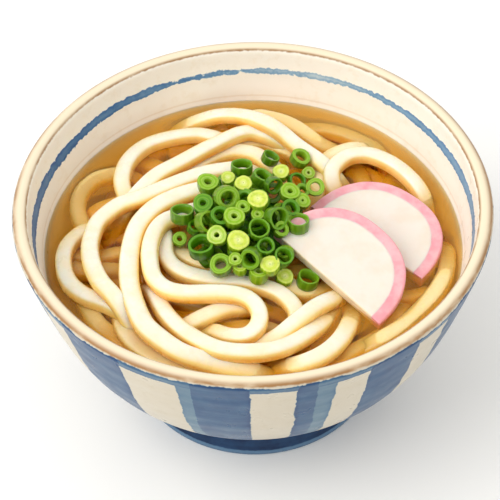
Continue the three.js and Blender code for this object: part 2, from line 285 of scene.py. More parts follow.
# The rings that the picture shows, from the lowest to the highest: the pixel of the middle, the
# diameter in pixels, how far the axis leans to the right and up in the picture, the tone from 0,
# dark green, to 1, pale yellow green, and the hole's share of the diameter.
RINGS = [
    (289.7, 209, 19, 0.3, 0.4, 0.05, 0.6), (245, 199, 19, -0.2, 0.4, 0.15, 0.5),
    (242.6, 208, 15, 0.1, 0.5, 0.45, 0.3), (252, 243, 17, 0.0, 0.4, 0.05, 0.6),
    (229, 229, 17, -0.2, 0.3, 0.1, 0.5), (302.3, 191, 15, 0.3, 0.5, 0.25, 0.5),
    (219.7, 217, 20, 0.2, 0.4, 0.05, 0.6), (280.5, 229.9, 16, 0.3, 0.3, 0.35, 0.5),
    (265.6, 247, 18, 0.1, 0.4, 0.1, 0.7), (240, 269, 14, 0.0, 0.7, 0.75, 0.2),
    (308, 173.5, 14, 0.2, 0.3, 0.62, 0.2), (302, 201.5, 16, 0.2, 0.3, 0.5, 0.15),
    (228, 179, 15, 0.0, 0.5, 0.85, 0.1), (296.6, 181.7, 18, 0.35, 0.2, 0.0, 0.72),
    (315, 187.4, 19, 0.05, 0.1, 0.45, 0.52), (257.6, 216, 14, 0.0, 0.6, 0.55, 0.2),
    (261, 178, 20, 0.38, 0.68, 0.2, 0.68), (273, 185, 18, 0.5, -0.35, 0.15, 0.75),
    (208, 184.5, 22, 0.0, 0.6, 0.42, 0.34), (203.6, 205, 21, -0.1, 0.45, 0.12, 0.3),
    (182.4, 214.4, 24.5, 0.0, 0.85, 0.22, 0.8), (179.5, 239.6, 15, 0.15, 0.35, 0.4, 0.35),
    (201.6, 247.7, 25, -0.1, 0.6, 0.08, 0.74), (220.8, 265.5, 22, 0.0, 0.35, 0.38, 0.5),
    (282.8, 257.4, 20, 0.3, 0.45, 0.12, 0.72), (258.7, 275, 19, 0.1, 0.78, 0.65, 0.35),
    (284.6, 278, 17, 0.1, 0.45, 0.85, 0.1), (307.5, 280.4, 22, 0.2, 0.75, 0.28, 0.78),
    (270, 266, 19.5, 0.0, 0.5, 0.88, 0.08), (298.3, 224, 22.5, 0.0, 0.82, 0.28, 0.8),
    (206, 222, 22, 0.55, 0.1, 0.42, 0.72), (217.4, 236, 20, -0.15, 0.25, 0.7, 0.25),
    (235, 259.7, 14, 0.1, 0.3, 0.6, 0.25), (226.6, 197.7, 25, 0.3, -0.15, 0.38, 0.56),
    (289.7, 193, 20, 0.1, 0.5, 0.45, 0.26), (276, 218, 23.5, 0.6, -0.05, 0.2, 0.75),
    (258.7, 230, 21.5, 0.1, 0.45, 0.2, 0.78), (270, 158.5, 19, 0.4, 0.74, 0.18, 0.76),
    (300, 158.5, 20, 0.3, 0.5, 0.4, 0.58), (242, 168, 22, 0.0, 0.82, 0.22, 0.8),
    (281, 173.5, 17.5, 0.0, 0.55, 0.9, 0.08), (243, 185, 17.5, 0.1, 0.5, 0.92, 0.08),
    (251.3, 258, 21, -0.35, -0.35, 0.25, 0.62), (234, 218.4, 21, 0.05, 0.45, 0.55, 0.28),
    (238, 242, 21.5, 0.05, 0.35, 0.9, 0.08), (258, 201, 20.5, 0.0, 0.45, 0.93, 0.08),
]

# ---------- the floor and the light, in metres ----------
FLOOR_SIZE = 6.0
LIGHT_PLACE, LIGHT_TARGET = (-1.2, -0.45, 1.4), (0.0, 0.0, 0.06)
LIGHT_SIZE, LIGHT_POWER = 1.7, 18.5
LIGHT_COLOUR = (1.0, 0.985, 0.955)
SKY_STRENGTH = 0.93


# ---------- places and pixels ----------
def view_rays(pixels):
    """The directions in which the camera sees these pixels, each one long along its axis."""
    across, down = (np.asarray(pixels, float).T - PICTURE_SIZE / 2) / FOCAL_PIXELS
    return across[:, None] * PICTURE_RIGHT - down[:, None] * PICTURE_UP - BACK


def unproject(pixels, heights):
    """The places, at these heights, that the camera sees at these pixels."""
    rays = view_rays(pixels)
    reach = (np.asarray(heights, float) - CAMERA_PLACE[2]) / rays[:, 2]
    return CAMERA_PLACE + rays * reach[:, None]


def bezier(corners, steps):
    """Points along the cubic Bezier curve of four corners."""
    t = np.linspace(0, 1, steps + 1)[:, None]
    a, b, c, d = (np.array(corner, float) for corner in corners)
    return (1 - t) ** 3 * a + 3 * (1 - t) ** 2 * t * b + 3 * (1 - t) * t**2 * c + t**3 * d


def smooth_line(points, steps):
    """A curve through all the points, with this many steps between two of them."""
    points = np.asarray(points, float)
    p = np.vstack([2 * points[0] - points[1], points, 2 * points[-1] - points[-2]])
    t = np.linspace(0, 1, steps, endpoint=False)[:, None]
    pieces = []
    for a, b, c, d in zip(p, p[1:], p[2:], p[3:]):
        bend = (2 * a - 5 * b + 4 * c - d) * t**2 + (3 * b - a - 3 * c + d) * t**3
        pieces.append(b + 0.5 * ((c - a) * t + bend))
    return np.vstack([*pieces, points[-1]])


def lengths_along(line):
    """How far along the line each of its points lies."""
    return np.concatenate([[0], np.cumsum(np.linalg.norm(np.diff(line, axis=0), axis=1))])


def even_steps(line, step):
    """The same line with points about a step apart."""
    along = lengths_along(line)
    count = max(2, int(round(along[-1] / step)) + 1)
    wanted = np.linspace(0, along[-1], count)
    return np.stack([np.interp(wanted, along, column) for column in line.T], axis=-1)


def turns(count):
    """Angles evenly round a full turn."""
    return np.linspace(0, 2 * math.pi, count, endpoint=False)


def circle(radius, height, angles):
    """Places round the bowl's axis."""
    level = np.full(len(angles), float(height))
    return np.stack([radius * np.cos(angles), radius * np.sin(angles), level], -1)


INNER_PROFILE = bezier(INNER_WALL, 200)


def inner_radius(height):
    """The bowl's inner radius at a height."""
    return np.interp(height, INNER_PROFILE[::-1, 1], INNER_PROFILE[::-1, 0])


def inner_height(radius):
    """The height of the bowl's inner wall at a radius."""
    return np.interp(radius, INNER_PROFILE[::-1, 0], INNER_PROFILE[::-1, 1])


def smoothstep(low, high, value):
    """Goes smoothly from 0 to 1 as the value goes from low to high."""
    t = np.clip((value - low) / (high - low), 0, 1)
    return t * t * (3 - 2 * t)


def squared(share, squareness):
    """A cosine or sine, drawn towards 1 or -1 so that a circle becomes a rounded square."""
    return np.sign(share) * np.abs(share) ** (2 / squareness)


def bulge(share, squareness):
    """Half the height of a rounded square at this share of its half width."""
    return (1 - share**squareness) ** (1 / squareness)


class Wander:
    """A smooth random function of one number, or of an angle in radians if it has to close up."""

    def __init__(self, seed, waves, closed=False):
        rng = random.Random(seed)
        self.parts = []
        for wave in waves:
            rate = wave if closed else wave * rng.uniform(0.8, 1.25)
            self.parts.append((rate, rng.uniform(0, 2 * math.pi), rng.uniform(0.6, 1.0)))
        self.total = sum(size for _, _, size in self.parts)

    def __call__(self, x):
        return sum(size * np.sin(rate * x + phase) for rate, phase, size in self.parts) / self.total


# ---------- meshes ----------
class Builder:
    """Collects lofted rings of points into one mesh."""

    def __init__(self):
        self.places = []
        self.faces = []
        self.values = {}

    def loft(self, rings, close=False, **values):
        """Joins closed rings of points, one after another, which turn counterclockwise as they are
        seen from the end, and closes both ends, or joins the last ring to the first. Each value is one
        number for each point, or for each point of a ring, or for each ring, or for all."""
        start = len(self.places)
        count, sides = len(rings), len(rings[0])
        self.places.extend(np.concatenate(rings).tolist())
        for i in range(count if close else count - 1):
            low = start + i * sides
            high = start + ((i + 1) % count) * sides
            for j in range(sides):
                k = (j + 1) % sides
                self.faces.append((low + j, low + k, high + k, high + j))
        if not close:
            last = start + (count - 1) * sides
            self.faces.append(tuple(range(start + sides - 1, start - 1, -1)))
            self.faces.append(tuple(range(last, last + sides)))
        for key, value in values.items():
            flat = np.broadcast_to(np.asarray(value, float), (count, sides)).ravel()
            self.values.setdefault(key, []).extend(flat.tolist())

    def piece(self, name, material, slot, sharp_over=None):
        """Makes the piece, which rides with the bowl and carries the values as attributes."""
        mesh = bpy.data.meshes.new(name)
        mesh.from_pydata((np.asarray(self.places) * MM).tolist(), [], self.faces)
        mesh.polygons.foreach_set("use_smooth", [True] * len(mesh.polygons))
        if sharp_over is not None:
            mesh.set_sharp_from_angle(angle=math.radians(sharp_over))
        for key, values in self.values.items():
            layer = mesh.attributes.new(key, "FLOAT", "POINT")
            layer.data.foreach_set("value", np.asarray(values, np.float32))
        mesh.materials.append(material)
        shell = bmesh.new()
        shell.from_mesh(mesh)
        bmesh.ops.recalc_face_normals(shell, faces=shell.faces)
        shell.to_mesh(mesh)
        shell.free()
        piece = bpy.data.objects.new(name, mesh)
        bpy.context.scene.collection.objects.link(piece)
        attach(piece, "root")
        return piece


def tree_of(piece):
    """A search tree over a piece's faces, in millimetres."""
    places = [vertex.co / MM for vertex in piece.data.vertices]
    return BVHTree.FromPolygons(places, [tuple(face.vertices) for face in piece.data.polygons])


# ---------- materials ----------
def srgb(red, green, blue):
    """A colour given as three numbers of 0 to 255, as Blender's linear colour."""
    channels = (np.array([red, green, blue]) / 255.0).tolist()
    linear = [c / 12.92 if c <= 0.04045 else ((c + 0.055) / 1.055) ** 2.4 for c in channels]
    return (*linear, 1.0)


class Output:
    """An output of a look's node. Those that are numbers can be used in sums."""

    def __init__(self, look, socket):
        self.look = look
        self.socket = socket

    def __add__(self, other):
        return self.look.math("ADD", self, other)

    def __sub__(self, other):
        return self.look.math("SUBTRACT", self, other)

    def __rsub__(self, other):
        return self.look.math("SUBTRACT", other, self)

    def __mul__(self, other):
        return self.look.math("MULTIPLY", self, other)

    def __rpow__(self, other):
        return self.look.math("POWER", other, self)

    def __abs__(self):
        return self.look.math("ABSOLUTE", self)


class Look:
    """A procedural material, with short calls for the nodes that are used here."""

    def __init__(self, name):
        self.material = bpy.data.materials.new(name)
        self.material.use_nodes = True
        self.tree = self.material.node_tree
        self.tree.nodes.clear()
        place = self.node("TexCoord", {}, "Object")
        self.place = self.node("VectorMath", {0: place, "Scale": 1 / MM}, operation="SCALE")

    def node(self, kind, inputs, output=0, **settings):
        """Adds a node with these settings and inputs and returns one of its outputs. An input is
        linked to another output or set to a number or colour."""
        node = self.tree.nodes.new("ShaderNode" + kind)
        for name, setting in settings.items():
            setattr(node, name, setting)
        for name, value in inputs.items():
            if isinstance(value, Output):
                self.tree.links.new(value.socket, node.inputs[name])
            elif value is not None:
                node.inputs[name].default_value = value
        return Output(self, node.outputs[output]) if node.outputs else None

    def math(self, operation, *values):
        return self.node("Math", dict(enumerate(values)), operation=operation)

    def value(self, name):
        """One number that the mesh carries at each vertex."""
        return self.node("Attribute", {}, "Fac", attribute_name=name)

    def along(self, axis):
        """The place along X, Y or Z, in millimetres."""
        return self.node("SeparateXYZ", {0: self.place}, axis)

    def stretched(self, x, y, z):
        """The place with each direction multiplied."""
        return self.node("VectorMath", {0: self.place, 1: (x, y, z)}, operation="MULTIPLY")

    def noise(self, size, detail=2.0, roughness=0.5, place=None):
        """Noise from 0 to 1 with lumps of about this size in millimetres."""
        inputs = {"Vector": place or self.place, "Scale": 1 / size, "Detail": detail, "Roughness": roughness}
        return self.node("TexNoise", inputs, "Fac")

    def steps(self, value, low, high, to_low=0.0, to_high=1.0):
        """Goes smoothly from to_low to to_high as the value goes from low to high."""
        inputs = {"Value": value, "From Min": low, "From Max": high, "To Min": to_low, "To Max": to_high}
        return self.node("MapRange", inputs, "Result", interpolation_type="SMOOTHSTEP")

    def mix(self, factor, one, other, blend="MIX"):
        """Two colours mixed. Inputs 6 and 7 and output 2 of the node are those for colours."""
        return self.node("Mix", {0: factor, 6: one, 7: other}, 2, data_type="RGBA", blend_type=blend)

    def absorbed(self, colour, amount, absorption):
        """The colour as it is seen through this amount of something that absorbs light."""
        passed = {i: math.exp(-rate) ** amount for i, rate in enumerate(absorption)}
        return self.mix(1.0, colour, self.node("CombineColor", passed), "MULTIPLY")

    def under_broth(self, colour, where=1.0, edge=FOOD_EDGE):
        """The colour with the broth over it where it lies deeper than the surface."""
        depth = BROTH_LEVEL - self.along("Z")
        at_once = self.steps(depth, -0.6, -0.2, 0.0, edge)
        depth = self.math("MAXIMUM", depth, 0.0) + at_once
        depth = self.math("MINIMUM", depth * where, BROTH_DEPTH_SEEN)
        return self.absorbed(colour, depth, BROTH_ABSORPTION)

    def bump(self, *layers):
        """A normal from layers of a height and its depth in millimetres."""
        normal = None
        for height, depth in layers:
            inputs = {"Distance": depth * MM, "Strength": 1.0, "Height": height, "Normal": normal}
            normal = self.node("Bump", inputs)
        return normal

    def surface(self, shader):
        """The material, with this shader on its surface."""
        self.node("OutputMaterial", {"Surface": shader})
        return self.material

    def principled(self, colour, roughness, normal=None, **settings):
        """The material, with Blender's standard shader."""
        inputs = {"Base Color": colour, "Roughness": roughness, "Normal": normal}
        inputs.update((name.replace("_", " "), value) for name, value in settings.items())
        return self.surface(self.node("BsdfPrincipled", inputs))


def glaze_look():
    """Cream glaze with brushed cobalt and a browner, unpainted lip. The outside is a darker cream than the
    inside, as painted shade, and the lip's brown towards its edges is partly painted shade.
    """
    look = Look("glaze")
    inside = look.value("inside")
    # Painted shade: the outer glaze is a darker cream than the inner, standing in for the shade on the
    # outside of the bowl.
    outer = look.mix(look.noise(26, 3, 0.6), srgb(210, 201, 183), srgb(198, 188, 168))
    outer = look.mix(look.steps(look.noise(3.5, 3, 0.6), 0.52, 0.75, 0.0, 0.35), outer, srgb(190, 177, 152))
    inner = look.mix(look.noise(24, 3, 0.6), srgb(254, 251, 243), srgb(250, 245, 232))
    inner = look.mix(look.steps(look.noise(4.5, 3, 0.6), 0.5, 0.75, 0.0, 0.3), inner, srgb(238, 226, 202))
    cream = look.mix(inside, outer, inner)
    wobble = (look.noise(2.6, 3, 0.6) - 0.5) * 1.5
    jitter = wobble + (look.noise(14, 1, 0.5) - 0.5) * 2.0

    def painted(name, density, rough=jitter):
        """How much paint there is, a little more along its edges."""
        edge = look.value(name) + rough
        pooled = 0.2 ** abs(edge - 0.45)
        return look.steps(edge, -PAINT_BLUR, PAINT_BLUR) * (pooled * 0.28 + density)

    brushed = look.noise(5, 3, 0.6, look.stretched(0.22, 0.22, 2.4))
    uneven = brushed * 0.5 + look.noise(11, 3, 0.65) * 0.7
    paler = look.steps(look.value("pale") + jitter, -0.2, 0.2, 1.0, 0.55)
    stripe = painted("stripe", 1.05) * paler
    left = look.steps(look.along("X"), -80.0, 25.0, 0.85, 0.2)
    right = look.steps(look.along("X"), 30.0, 75.0, 0.0, 0.28)
    line = painted("line", left + right, wobble * 1.9)
    paint = look.math("MAXIMUM", stripe, painted("band", 0.65)) + line
    colour = look.absorbed(cream, paint * (uneven + 0.5), COBALT)

    foot = look.steps(look.value("foot") + jitter, -PAINT_BLUR, PAINT_BLUR)
    foot_edge = look.value("foot_edge") + wobble * 0.5
    foot_colour = look.mix(look.steps(uneven, 0.4, 0.8), srgb(32, 66, 104), srgb(10, 34, 68))
    foot_colour = look.mix(look.steps(foot_edge, -0.2, 0.3), foot_colour, srgb(88, 120, 150))
    colour = look.mix(foot, colour, foot_colour)

    # The lip is lighter at the crest and browner towards its edges: partly the lip's own iron colour, partly
    # painted shade along its edges.
    lip = look.steps(look.value("lip") + wobble, -0.4, 0.5)
    streaks = look.noise(4.5, 3, 0.65, look.stretched(0.3, 0.3, 1.6))
    brown_and_shade = look.steps(look.value("lip_edge"), 0.0, 1.0) * look.steps(streaks, 0.28, 0.56, 0.55, 1.0)
    colour = look.mix(lip, colour, look.mix(brown_and_shade, srgb(240, 226, 198), srgb(160, 119, 76)))
    tide = look.steps(abs(look.along("Z") - TIDE_HEIGHT + wobble * 0.3), 0.15, 0.6, 0.22, 0.0) * inside
    colour = look.mix(tide, colour, srgb(206, 174, 124))
    colour = look.under_broth(colour, inside * WALL_TINT, WALL_EDGE)
    roughness = look.steps(look.noise(8, 2), 0.3, 0.7, 0.27, 0.36)
    normal = look.bump((look.noise(16, 2), 0.35), (look.noise(1.6, 2), 0.03))
    return look.principled(
        colour, roughness, normal, Specular_IOR_Level=0.22, Coat_Weight=0.05, Coat_Roughness=0.12,
    )


def broth_look():
    """The film of the broth's surface, slightly cloudy. What lies under it carries the tint of its
    depth."""
    look = Look("broth")
    clear = look.node("BsdfTransparent", {"Color": (1.0, 0.99, 0.96, 1.0)})
    cloud = look.node("BsdfDiffuse", {"Color": srgb(254, 174, 28)})
    ripples = look.bump((look.noise(22, 2), 0.5))
    gloss = look.node("BsdfGlossy", {"Color": (1.0, 0.94, 0.82, 1.0), "Roughness": 0.04, "Normal": ripples})
    passed = math.exp(-BROTH_CLOUD) ** look.value("depth")
    liquid = look.node("MixShader", {0: 1.0 - passed, 1: clear, 2: cloud})
    fresnel = look.node("Fresnel", {"IOR": 1.33})
    return look.surface(look.node("MixShader", {0: fresnel, 1: liquid, 2: gloss}))


def noodle_look():
    """Boiled wheat noodle: creamy white on top, warmer near the broth, wet. Its sides and underside are
    painted deeper yellow, as painted shade.
    """
    look = Look("noodle")
    under = look.value("under")
    # Painted shade: the colour runs from creamy white on top through deep yellow to orange low on the sides
    # and underside of each strand, following the value under.
    colour = look.mix(look.steps(under, 0.0, 0.22), srgb(248, 242, 225), srgb(252, 216, 128))
    colour = look.mix(look.steps(under, 0.2, 0.56), colour, srgb(250, 183, 72))
    cloud = look.steps(look.noise(7, 3, 0.55), 0.35, 0.7, 0.0, 0.3)
    colour = look.mix(cloud, colour, srgb(250, 227, 165))
    soaked = look.steps(look.along("Z"), BROTH_LEVEL, BROTH_LEVEL + SOAKED_REACH, 0.75, 0.0)
    colour = look.under_broth(look.mix(soaked, colour, srgb(250, 212, 124)))
    normal = look.bump((look.noise(9, 2), 0.25), (look.noise(1.6, 2), 0.02))
    return look.principled(
        colour, look.steps(look.noise(5, 2), 0.3, 0.7, 0.24, 0.34), normal,
        Specular_IOR_Level=0.35, Subsurface_Weight=0.45, Subsurface_Radius=(1.0, 0.65, 0.32),
        Subsurface_Scale=0.0026, Coat_Weight=0.35, Coat_Roughness=0.06,
    )


def fish_cake_look(name, pink):
    """Fine, dense fish cake. The rim's dye bleeds a little way into the white."""
    look = Look(name)
    grain = look.noise(0.9, 3, 0.6)
    side = look.value("side")
    edge = look.value("rim") + (look.noise(2.4, 2) - 0.5) * 0.9
    if pink:
        clouds = look.steps(look.noise(6, 3, 0.6), 0.35, 0.7)
        face = look.mix(clouds, srgb(246, 188, 194), srgb(241, 160, 172))
        face = look.mix(look.steps(edge, -0.25, 0.45, 0.75, 0.0), face, srgb(244, 204, 206))
        skin = look.mix(look.noise(5, 2), srgb(240, 152, 168), srgb(245, 180, 188))
        colour = look.mix(side, face, skin)
    else:
        clouds = look.steps(look.noise(10, 3, 0.6), 0.4, 0.7)
        colour = look.mix(clouds, srgb(238, 230, 219), srgb(236, 224, 209))
        # Painted shade: the thin side faces of the white body are warmer and yellower than its cut faces.
        colour = look.mix(look.steps(side, 0.2, 0.9, 0.0, 0.55), colour, srgb(238, 216, 172))
        colour = look.mix(look.steps(edge, -0.7, 0.0, 0.0, 0.55), colour, srgb(241, 204, 202))
    colour = look.mix(look.steps(grain, 0.62, 0.8, 0.0, 0.12), colour, srgb(225, 200, 185))
    holes = look.node("TexVoronoi", {"Vector": look.place, "Scale": 1 / 1.3}, "Distance")
    normal = look.bump((look.noise(12, 2), 0.3), (grain, 0.05), (look.steps(holes, 0.0, 0.28), 0.04))
    return look.principled(
        look.under_broth(colour), 0.42, normal,
        Subsurface_Weight=0.35, Subsurface_Radius=(1.0, 0.6, 0.45), Subsurface_Scale=0.0018,
        Coat_Weight=0.12, Coat_Roughness=0.2,
    )


def scallion_look():
    """Sliced scallion: a dark, fibrous skin, a paler cut face in layers and a wet hollow."""
    look = Look("scallion")
    tone, layer = look.value("tone"), look.value("layer")
    skin = look.mix(tone, srgb(26, 88, 0), srgb(142, 184, 20))
    streaks = look.steps(look.value("streak"), 0.3, 0.85, 0.0, 0.5)
    skin = look.mix(streaks, skin, look.mix(tone, srgb(80, 142, 4), srgb(208, 224, 76)))
    cut = look.mix(look.steps(tone, 0.0, 0.55), srgb(72, 138, 0), srgb(138, 186, 4))
    cut = look.mix(look.steps(tone, 0.55, 1.0), cut, srgb(212, 226, 84))
    layers = layer * 12.0 + (look.noise(1.3, 2) - 0.5) * 2.4
    pale_layers = look.steps(look.math("SINE", layers), -0.2, 1.0, 0.0, 0.42)
    cut = look.mix(pale_layers, cut, look.mix(tone, srgb(124, 178, 10), srgb(240, 242, 150)))
    heart = look.steps(layer, 0.6, 1.0) * look.steps(tone, 0.3, 0.9, 0.0, 0.7)
    cut = look.mix(heart, cut, srgb(240, 242, 178))
    inner = look.mix(look.steps(tone, 0.0, 0.8), srgb(76, 140, 4), srgb(180, 212, 48))
    colour = look.mix(look.value("cut"), skin, cut)
    colour = look.mix(look.value("inner"), colour, inner)
    colour = look.mix(look.steps(look.noise(1.6, 2), 0.45, 0.75, 0.0, 0.3), colour, srgb(92, 150, 4))
    normal = look.bump((look.noise(1.4, 2), 0.16), (look.noise(0.5, 2), 0.04))
    return look.principled(
        look.under_broth(colour), 0.3, normal,
        Specular_IOR_Level=0.25, Subsurface_Weight=0.12, Subsurface_Radius=(0.5, 1.0, 0.2),
        Subsurface_Scale=0.001, Coat_Weight=0.4, Coat_Roughness=0.05,
    )


# ---------- the bowl ----------
def bowl_profile():
    """Radius and height from the middle of the underside over the lip to the middle of the inside."""
    lip = [
        (RIM_RADIUS - 0.05, BOWL_HEIGHT - 2.4), (RIM_RADIUS - 1.2, BOWL_HEIGHT - 0.6),
        (RIM_RADIUS - LIP_THICKNESS / 2, BOWL_HEIGHT - 0.02),
        (RIM_RADIUS - LIP_THICKNESS + 1, BOWL_HEIGHT - 0.7),
        (RIM_RADIUS - LIP_THICKNESS + 0.2, BOWL_HEIGHT - 2.4),
    ]
    corners = np.vstack([UNDERSIDE, FOOT, bezier(OUTER_WALL, 60)[::6], lip, INNER_PROFILE[::10]])
    return even_steps(np.clip(smooth_line(corners, 8), 0, (RIM_RADIUS, BOWL_HEIGHT)), PROFILE_STEP)


def stripe_distances(angles, radius):
    """How far inside a stripe, and inside the pale part of a stripe, each angle is, in millimetres."""
    degrees = np.degrees(angles)
    best = np.full(len(angles), -1e3)
    pale = best
    to_mm = math.radians(1) * radius
    for low, high, fold in STRIPES:
        middle, half = (low + high) / 2, (high - low) / 2
        off = (degrees - middle + 180) % 360 - 180
        best = np.maximum(best, (half - np.abs(off)) * to_mm)
        if fold is not None:
            side = 1 if abs(fold - low) < abs(high - fold) else -1
            pale_here = np.minimum(side * (fold - middle - off), half + 3 - np.abs(off))
            pale = np.maximum(pale, pale_here * to_mm)
    return best, pale


def make_bowl():
    """The glazed bowl. Each point knows how far, in millimetres, it lies inside each painted part,
    the lip and the foot, and whether it is on the inside."""
    profile = bowl_profile()
    crest = int(np.argmax(profile[:, 1]))
    along = lengths_along(profile)
    angles = turns(BOWL_AROUND)
    ridges = Wander(3, [0.9, 0.55, 0.31])
    leaning = Wander(4, [2, 3], closed=True)
    thick = Wander(5, [3, 7, 13, 22, 31], closed=True)
    shifted = Wander(6, [2, 5, 9], closed=True)
    line_middle = INNER_LINE_HEIGHT + 0.9 * np.cos(angles - 0.45) + 0.4 * shifted(angles)
    right, left = np.maximum(np.cos(angles), 0), np.maximum(-np.cos(angles), 0)
    line_half = 1.1 + 1.2 * right**4 + 1.6 * left**2 + 0.5 * thick(angles)
    rings, rows = [], []
    for i, (radius, height) in enumerate(profile[1:-1], 1):
        wall_part = smoothstep(24, 40, height) * smoothstep(96, 88, height)
        worn = RIDGES * wall_part * ridges(height) if radius > 30 else 0.0
        reach = radius + worn + LEAN * wall_part * leaning(angles)
        rings.append(circle(np.minimum(reach, RIM_RADIUS), height, angles))
        stripe, pale = stripe_distances(angles, radius)
        from_crest = abs(along[i] - along[crest])
        row = dict.fromkeys(("stripe", "band", "line", "foot"), UNPAINTED)
        row.update(pale=pale, foot_edge=FOOT_PALE_BAND - height, inside=float(i > crest))
        if i < crest:
            row.update(lip=LIP_OUTSIDE - from_crest, lip_edge=smoothstep(0.6, 2.4, from_crest))
            if radius > 40:
                row["foot"] = BASE_BOTTOM - height
            if height > WALL_BOTTOM:
                under_lip = min(BAND_TOP - height, height - BAND_BOTTOM)
                over_foot = min(BASE_TOP - height, height - BASE_BOTTOM)
                row["stripe"] = np.minimum(stripe, min(height - BASE_BOTTOM, BAND_TOP - height))
                row["band"] = max(under_lip, over_foot)
        else:
            row.update(lip=LIP_INSIDE - from_crest, lip_edge=smoothstep(1.3, 2.8, from_crest))
            row["line"] = line_half - np.abs(height - line_middle)
        rows.append(row)
    builder = Builder()
    builder.loft(rings, **{key: [np.broadcast_to(row[key], BOWL_AROUND) for row in rows] for key in rows[0]})
    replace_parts(builder.piece("bowl_glazed", glaze_look(), "glaze"), "bowl")


# ---------- the noodles ----------
def core_top(radius):
    """How high the heart of the heap is: flat in the middle and lower towards its edge."""
    return CORE_TOP - 10.0 * np.clip(radius / CORE_RADIUS, 0, 1.3) ** 5


def floor_height(plan):
    """How low the middle of a strand can lie, on the heart of the heap or on the bowl's wall."""
    radius = np.linalg.norm(plan, axis=1)
    wall = inner_height(radius + STRAND_WIDTH / 2) + WALL_GAP
    return np.maximum(core_top(radius) + STRAND_HEIGHT / 2, wall)


def slice_matrix(place, heading, pitch, roll):
    """Puts a slice, whose base lies along X with its dome towards Y, in its place."""
    turn = Matrix.Rotation(math.radians(heading), 4, "Z")
    turn = turn @ Matrix.Rotation(math.radians(pitch), 4, "X") @ Matrix.Rotation(math.radians(roll), 4, "Y")
    return np.array(Matrix.Translation(place) @ turn)


def ceiling(plan):
    """How high the middle of a strand may lie under the slices of fish cake."""
    limit = np.full(len(plan), np.inf)
    for placing in SLICES.values():
        matrix = slice_matrix(*placing)
        normal = matrix[:3, 2]
        seat = matrix[:3, 3] - normal * (SLICE_THICKNESS + STRAND_HEIGHT / 2 + 0.1)
        level = seat[2] - ((plan - seat[:2]) @ normal[:2]) / normal[2]
        local = (np.column_stack([plan, level]) - matrix[:3, 3]) @ matrix[:3, :3]
        outline = (np.abs(local[:, 0]) / (SLICE_WIDTH / 2 + SLICE_CLEARANCE)) ** SLICE_ROUNDNESS
        outline += (np.abs(local[:, 1]) / (SLICE_HEIGHT + SLICE_CLEARANCE)) ** SLICE_ROUNDNESS
        under = (outline < 1) & (local[:, 1] > -SLICE_CLEARANCE)
        limit = np.where(under, np.minimum(limit, level), limit)
    return limit


def gaps(plan, middles):
    """How far each point of a plan is from each of the middles, as seen from above."""
    return np.linalg.norm(plan[:, None, :] - middles[None, :, :2], axis=2)


def contact(gap):
    """How far one strand's middle lies over another's where their plans are this far apart."""
    return CONTACT_RISE * bulge(np.minimum(gap / CONTACT_REACH, 1), CONTACT_ROUNDNESS)


def softened(z):
    """Heights along a strand, each drawn towards its neighbours'."""
    out = z.copy()
    out[1:-1] += FIRMNESS * (z[:-2] - 2 * z[1:-1] + z[2:])
    return out


def between(plan, middles, side):
    """The lowest place over these middles, or the highest under them, along a plan."""
    gap = gaps(plan, middles)
    level = np.where(gap < CONTACT_REACH, middles[None, :, 2] + side * contact(gap), -side * np.inf)
    return level.max(axis=1, initial=-np.inf) if side > 0 else level.min(axis=1, initial=np.inf)


def weave():
    """Heights at which the traced strands lie over and under one another, near their own levels."""
    traces = [even_steps(smooth_line(pixels, 8), TRACE_STEP) for _, _, pixels in STRANDS]
    counts = [len(trace) for trace in traces]
    owner = np.repeat(np.arange(len(traces)), counts)
    pixels = np.vstack(traces)
    levels = [np.atleast_1d(heights) for _, heights, _ in STRANDS]
    level = np.concatenate([
        np.interp(np.linspace(0, 1, count), np.linspace(0, 1, len(heights)), heights)
        for heights, count in zip(levels, counts)
    ])
    names = [name for name, _, _ in STRANDS]
    starts = np.concatenate([[0], np.cumsum(counts)])
    parts = [slice(low, high) for low, high in zip(starts, starts[1:])]
    rank = owner.astype(float)
    for name, first, last, other in PASSES_UNDER:
        rank[parts[names.index(name)]][first:last] = names.index(other) - 0.5
    z = level.copy()
    for _ in range(WEAVE_ROUNDS):
        plan = unproject(pixels, z)[:, :2]
        gap = gaps(plan, plan)
        meet = (gap < CONTACT_REACH) & (owner[:, None] != owner)
        over, under = np.nonzero(meet & (rank[:, None] > rank[None, :]))
        rise = contact(gap[over, under])
        lid = ceiling(plan)
        for _ in range(WEAVE_STEPS):
            lack = np.maximum(rise - (z[over] - z[under]), 0)
            up, down = np.zeros(len(z)), np.zeros(len(z))
            np.maximum.at(up, over, lack)
            np.maximum.at(down, under, lack)
            z = z + LIFT * up - LIFT * down + HOLD * (level - z)
            for part in parts:
                z[part] = softened(z[part])
            z = np.minimum(z, lid)
    lines = [unproject(pixels[part], z[part]) for part in parts]
    return [(name, even_steps(smooth_line(line, 3), STRAND_STEP)) for name, line in zip(names, lines)]


def home_side(place, heading):
    """1 or -1, for the side to which a way has to turn to lead to the bowl's middle."""
    inward = math.atan2(-place[1], -place[0])
    return np.sign((inward - heading + math.pi) % (2 * math.pi) - math.pi)


def dive(line, rng):
    """Goes on from the end of a line, curling inward and down into the heap."""
    ahead = line[-1, :2] - line[-4, :2]
    heading = math.atan2(ahead[1], ahead[0])
    slope = (line[-1, 2] - line[-4, 2]) / max(np.linalg.norm(ahead), 1e-6)
    slope = max(min(slope, 0.3), -0.8)
    place = line[-1].copy()
    turn = rng.uniform(-1, 1) / 60
    points = []
    while len(points) < DIVE_POINTS and place[2] > LOWEST_DIVE:
        edge = smoothstep(55, 72, np.hypot(place[0], place[1]))
        heading += STRAND_STEP * (turn + edge * 0.05 * home_side(place, heading))
        slope = max(slope - 0.14, STEEPEST_DIVE)
        place = place + STRAND_STEP * np.array([math.cos(heading), math.sin(heading), slope])
        place[2] = min(place[2], ceiling(place[None, :2])[0])
        points.append(place)
    return np.vstack([line, *points])


